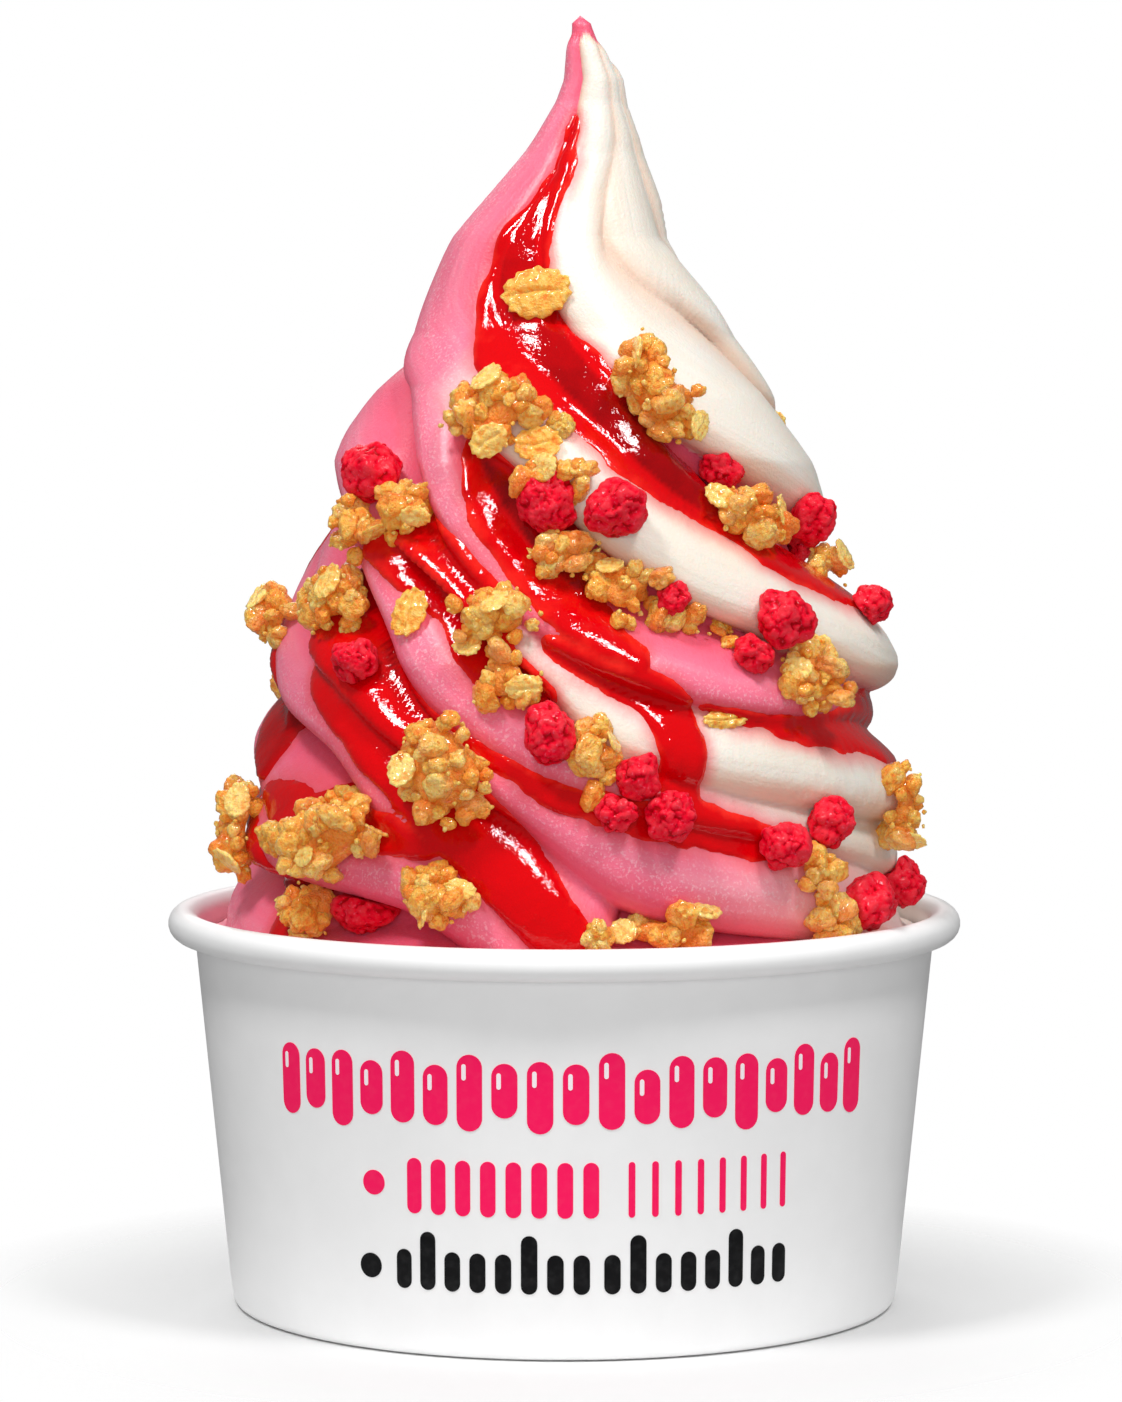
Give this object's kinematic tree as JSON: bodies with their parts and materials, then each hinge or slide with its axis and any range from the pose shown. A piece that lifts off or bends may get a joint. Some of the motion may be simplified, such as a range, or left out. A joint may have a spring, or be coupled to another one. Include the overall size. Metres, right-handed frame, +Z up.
{
  "type": "frozen yogurt cup",
  "caption": "Paper tub of two-flavour soft-serve frozen yogurt in a tall folded swirl, with berry sauce, freeze-dried berries and granola clusters.",
  "frame": {"origin": "on the table under the middle of the tub's foot", "axes": "+Z up through the swirl's tip; the front, which the picture shows, faces -Y; +X to its right"},
  "size_m": [0.1118, 0.1118, 0.181],
  "materials": {
    "tub_paper": "coated white board, soft sheen",
    "frozen_yogurt": "satin, finely frosted, pink and cream white",
    "berry_sauce": "wet gloss, clear red",
    "dried_berry": "matt, bumpy, crimson",
    "granola": "toasted, glazed in places",
    "oat_flake": "toasted, satin",
    "print": "flat printed ink, soft sheen"
  },
  "bodies": {
    "root": {"paper_cup": "tub_paper", "yogurt_swirl": "frozen_yogurt", "berry_01": "dried_berry", "berry_02": "dried_berry", "berry_03": "dried_berry", "berry_04": "dried_berry", "berry_05": "dried_berry", "berry_06": "dried_berry", "berry_07": "dried_berry", "berry_08": "dried_berry", "berry_09": "dried_berry", "berry_10": "dried_berry", "berry_11": "dried_berry", "berry_12": "dried_berry", "berry_13": "dried_berry", "berry_14": "dried_berry", "berry_15": "dried_berry", "berry_16": "dried_berry", "berry_17": "dried_berry", "berry_18": "dried_berry", "berry_19": "dried_berry", "berry_20": "dried_berry", "berry_21": "dried_berry", "berry_22": "dried_berry", "berry_23": "dried_berry", "berry_24": "dried_berry", "granola_01": "granola", "granola_02": "granola", "granola_03": "granola", "granola_04": "granola", "granola_05": "granola", "granola_06": "granola", "granola_07": "granola", "granola_08": "granola", "granola_09": "granola", "granola_10": "granola", "granola_11": "granola", "granola_12": "granola", "granola_13": "granola", "granola_14": "granola", "granola_15": "granola", "granola_16": "granola", "granola_17": "granola", "granola_18": "granola", "granola_19": "granola", "granola_20": "granola", "granola_21": "granola", "granola_22": "granola", "granola_23": "granola", "granola_24": "granola", "granola_25": "granola", "granola_26": "granola", "granola_27": "granola", "granola_28": "granola", "granola_29": "granola", "granola_30": "granola", "granola_31": "granola", "oat_flake_1": "oat_flake", "oat_flake_2": "oat_flake", "oat_flake_3": "oat_flake"}
  },
  "joints": []
}
